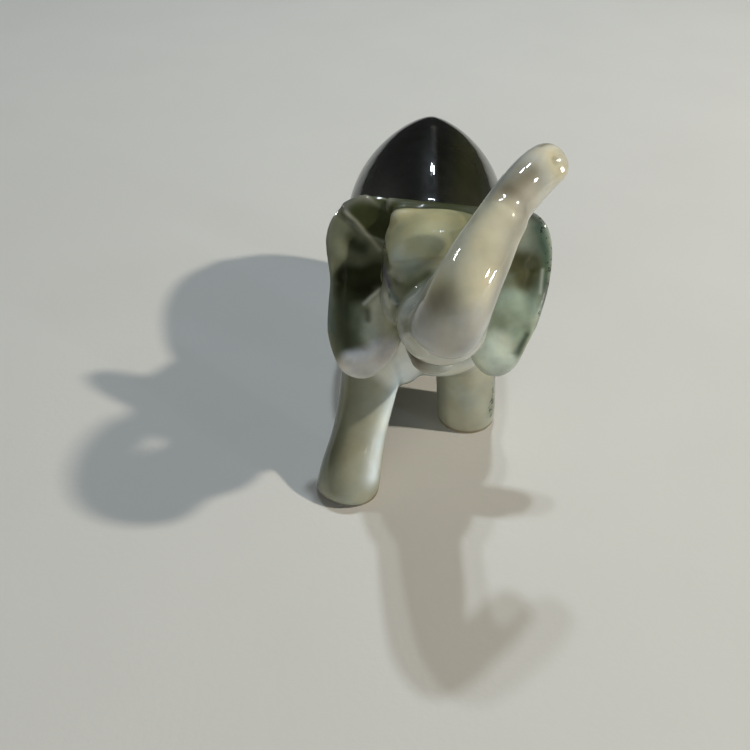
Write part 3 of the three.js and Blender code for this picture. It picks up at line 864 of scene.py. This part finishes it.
def porcelain(name, cloud_mm, depth):
    """Porcelain with sprayed underglaze colours, dipped in a clear glaze and fired glossy.

    The eye gets soft uneven colour from under the glaze, small sharp highlights from the glass over
    it, slow ripples where the glaze ran, less gloss where a lamp would show, and pigment specks that
    burnt through. The specks and the colour's grain are drawn coarser than they are, to show.
    """
    material = bpy.data.materials.new(name)
    material.use_nodes = True
    tree = material.node_tree
    tree.nodes.clear()
    where = node(tree, "ShaderNodeTexCoord").outputs["Object"]
    paint = node(tree, "ShaderNodeAttribute", {"attribute_name": "paint"})

    cloud_noise = node(
        tree, "ShaderNodeTexNoise", Vector=where, Scale=1 / (cloud_mm * MM), Detail=4)
    cloud = node(
        tree, "ShaderNodeMapRange", i0=cloud_noise.outputs["Fac"], i1=0.3, i2=0.7, i3=1 - depth,
        i4=1 + depth * 0.6)
    clouded = node(
        tree, "ShaderNodeVectorMath", {"operation": "SCALE"}, i0=paint.outputs["Color"],
        i3=cloud.outputs["Result"])
    drift_noise = node(
        tree, "ShaderNodeTexNoise", Vector=where, Scale=1 / (DRIFT_MM * MM), Detail=2)
    drift = node(
        tree, "ShaderNodeMapRange", i0=drift_noise.outputs["Fac"], i1=0.35, i2=0.65, i3=0,
        i4=DRIFT_SHARE)
    warmed = node(
        tree, "ShaderNodeMix", {"data_type": "RGBA", "blend_type": "MULTIPLY"},
        i0=drift.outputs["Result"], i6=clouded.outputs["Vector"], i7=(*linear(WARM_TINT), 1))
    cool_noise = node(tree, "ShaderNodeTexNoise", Vector=where, Scale=1 / (COOL_MM * MM), Detail=2)
    cool = node(
        tree, "ShaderNodeMapRange", i0=cool_noise.outputs["Fac"], i1=0.4, i2=0.7, i3=0,
        i4=DRIFT_SHARE)
    cooled = node(
        tree, "ShaderNodeMix", {"data_type": "RGBA", "blend_type": "MULTIPLY"},
        i0=cool.outputs["Result"], i6=warmed.outputs[2], i7=(*linear(COOL_TINT), 1))
    grains = node(
        tree, "ShaderNodeTexNoise", Vector=where, Scale=1 / (SPECK_MM * MM), Detail=4,
        Roughness=0.75)
    grit = node(
        tree, "ShaderNodeMath", {"operation": "MULTIPLY_ADD"}, i0=paint.outputs["Alpha"],
        i1=SPECK_PULL, i2=grains.outputs["Fac"])
    speck = node(
        tree, "ShaderNodeMapRange", i0=grit.outputs["Value"], i1=SPECK_EDGE[0], i2=SPECK_EDGE[1],
        i3=0, i4=SPECK_SHARE)
    colour = node(
        tree, "ShaderNodeMix", {"data_type": "RGBA"}, i0=speck.outputs["Result"],
        i6=cooled.outputs[2], i7=(*linear(SPECK_COLOUR), 1))
    runs = node(
        tree, "ShaderNodeTexNoise", Vector=where, Scale=1 / (RIPPLE_MM * MM), Detail=1,
        Roughness=0.4)
    ripple = node(
        tree, "ShaderNodeBump", Height=runs.outputs["Fac"], Strength=1.0,
        Distance=RIPPLE_HEIGHT_MM * MM)
    grain = node(tree, "ShaderNodeTexNoise", Vector=where, Scale=1 / (GRAIN_MM * MM), Detail=2)
    fine = node(
        tree, "ShaderNodeBump", Height=grain.outputs["Fac"], Strength=1.0,
        Distance=GRAIN_HEIGHT_MM * MM, Normal=ripple.outputs["Normal"])
    patches = node(
        tree, "ShaderNodeTexNoise", Vector=where, Scale=1 / (cloud_mm * 0.5 * MM), Detail=3)
    matt = node(
        tree, "ShaderNodeMapRange", i0=patches.outputs["Fac"], i1=0.3, i2=0.7,
        i3=CLAY_ROUGHNESS[0], i4=CLAY_ROUGHNESS[1])
    wet = node(tree, "ShaderNodeAttribute", {"attribute_name": "wet"})
    shader = node(
        tree, "ShaderNodeBsdfPrincipled", Base_Color=colour.outputs[2],
        Roughness=matt.outputs["Result"], Specular_IOR_Level=0.1, Coat_Weight=wet.outputs["Fac"],
        Coat_Roughness=GLASS_ROUGHNESS, Coat_IOR=GLASS_IOR, Subsurface_Weight=0.06,
        Subsurface_Radius=LIGHT_DEPTH, Subsurface_Scale=1.0,
        Normal=fine.outputs["Normal"], Coat_Normal=ripple.outputs["Normal"])
    node(tree, "ShaderNodeOutputMaterial", Surface=shader.outputs["BSDF"])
    return material


# ---------------------------------------------------------------- stage
def place(name, mesh, slot_name):
    """Makes finished clay a piece of the model, in place of the plain casting of that name."""
    mesh.transform(TO_FRAME)
    mesh.materials.clear()
    mesh.materials.append(GLAZES[slot_name])
    piece = bpy.data.objects.new(f"glazed_{name}", mesh)
    mesh.name = piece.name
    bpy.context.scene.collection.objects.link(piece)
    mesh.shade_smooth()
    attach(piece, "root")
    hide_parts(name)


def matt_card():
    """Pale matt card. The eye gets a faint fibre in it and slow blotches of a warmer grey."""
    material = bpy.data.materials.new("matt_card")
    material.use_nodes = True
    tree = material.node_tree
    tree.nodes.clear()
    where = node(tree, "ShaderNodeTexCoord").outputs["Object"]
    fibre = node(tree, "ShaderNodeTexNoise", Vector=where, Scale=1 / (FIBRE_MM * MM), Detail=3)
    blotch = node(tree, "ShaderNodeTexNoise", Vector=where, Scale=1 / (BLOTCH_MM * MM), Detail=3)
    cool, warm = [(*linear(colour), 1) for colour in CARD_COLOURS]
    tone = node(
        tree, "ShaderNodeMix", {"data_type": "RGBA"}, i0=blotch.outputs["Fac"], i6=cool, i7=warm)
    lay = node(
        tree, "ShaderNodeBump", Height=fibre.outputs["Fac"], Strength=1.0,
        Distance=FIBRE_HEIGHT_MM * MM)
    shader = node(
        tree, "ShaderNodeBsdfPrincipled", Base_Color=tone.outputs[2], Roughness=0.8,
        Normal=lay.outputs["Normal"])
    node(tree, "ShaderNodeOutputMaterial", Surface=shader.outputs["BSDF"])
    return material


def set_table():
    """A pale matt table top under the soles."""
    bm = bmesh.new()
    bmesh.ops.create_grid(bm, x_segments=1, y_segments=1, size=TABLE_SIZE)
    bmesh.ops.translate(bm, verts=bm.verts, vec=(0, 0, CAD_LOW.z))
    mesh = bpy.data.meshes.new("table_top")
    bm.to_mesh(mesh)
    bm.free()
    mesh.materials.append(matt_card())
    table = bpy.data.objects.new("table_top", mesh)
    bpy.context.scene.collection.objects.link(table)


def set_camera():
    """A camera in front, looking down at the raised trunk."""
    lens = bpy.data.cameras.new("camera")
    lens.sensor_width = SENSOR_MM
    lens.lens = LENS_MM
    lens.clip_start = 0.01
    camera = bpy.data.objects.new("camera", lens)
    camera.location = GROUND + Vector(CAMERA_PLACE) * MM
    camera.rotation_euler = (math.radians(CAMERA_TILT), 0, math.radians(CAMERA_TURN))
    bpy.context.scene.collection.objects.link(camera)
    bpy.context.scene.camera = camera


def set_lamp(name, place_mm, size_mm, power, colour, mirrored, lights):
    """A soft round lamp that faces the elephant."""
    lamp = bpy.data.lights.new(name, "AREA")
    lamp.shape = "DISK"
    lamp.size = size_mm * MM
    lamp.energy = power
    lamp.color = linear(colour)
    holder = bpy.data.objects.new(name, lamp)
    holder.location = GROUND + Vector(place_mm) * MM
    holder.rotation_euler = Vector(place_mm).to_track_quat("Z", "Y").to_euler()
    holder.visible_glossy = mirrored
    holder.visible_diffuse = lights
    bpy.context.scene.collection.objects.link(holder)


def set_light():
    """A dim room with a lamp at the right, two above and behind, weak fills and the glints."""
    world = bpy.data.worlds.new("room")
    world.use_nodes = True
    world.node_tree.nodes["Background"].inputs["Color"].default_value = ROOM_GLOW
    bpy.context.scene.world = world
    for name, settings in LAMPS.items():
        set_lamp(name, *settings)
    bpy.context.scene.view_settings.view_transform = "Standard"


# ---------------------------------------------------------------- making
SLOTS = {"torso": "body_glaze", "head": "head_glaze", "trunk": "trunk_glaze"}
GLAZES = {
    "body_glaze": porcelain("glazed_porcelain_black_back", CLOUD_MM, CLOUD_DEPTH),
    "head_glaze": porcelain("glazed_porcelain_olive_brow", CLOUD_MM, CLOUD_DEPTH),
    "trunk_glaze": porcelain("glazed_porcelain_cream_trunk", CLOUD_MM, CLOUD_DEPTH),
    "ear_glaze": porcelain("glazed_porcelain_green_ear", EAR_CLOUD_MM, EAR_CLOUD_DEPTH),
    "leg_glaze": porcelain("glazed_porcelain_grey_leg", CLOUD_MM, CLOUD_DEPTH),
}


def make_figure():
    """The torso, head, trunk and legs, trimmed from one skin."""
    figure = model_figure()
    paint_figure(figure)
    for name, part in trim_apart(figure.finished()).items():
        mesh = bpy.data.meshes.new(name)
        part.to_mesh(mesh)
        part.free()
        place(name, mesh, SLOTS.get(name, "leg_glaze"))
        lay_normals(mesh)


def make_ear(name):
    """An ear, shaped and painted flat on the bench and then carried to the head."""
    ear = ear_blank(name)
    shape_ear(ear, name)
    paint_ear(ear, name)
    mesh = ear.finished()
    mesh.transform(ear_in_place(name))
    if EAR_SIDE[name] < 0:
        mesh.flip_normals()
    place(name, mesh, "ear_glaze")


def make_rolled(name, sections, caps, slot_name, colour, paint):
    """A piece that is one coil of clay: the lower jaw or the tail."""
    bm = bmesh.new()
    coil(bm, sections, caps)
    roll = Clay(fused(bm, FINER), colour)
    roll.smooth(4)
    roll.decorate(roll.points, paint, [])
    place(name, roll.finished(), slot_name)


make_figure()
for name in EAR_OUTLINES:
    make_ear(name)
make_rolled("lower_jaw", JAW, (3, 3.2), "trunk_glaze", JAW_GREY, MOUTH_CORNER_SHADE)
make_rolled("tail", TAIL, (2, 2), "body_glaze", TAIL_BLACK, [])
set_table()
set_camera()
set_light()
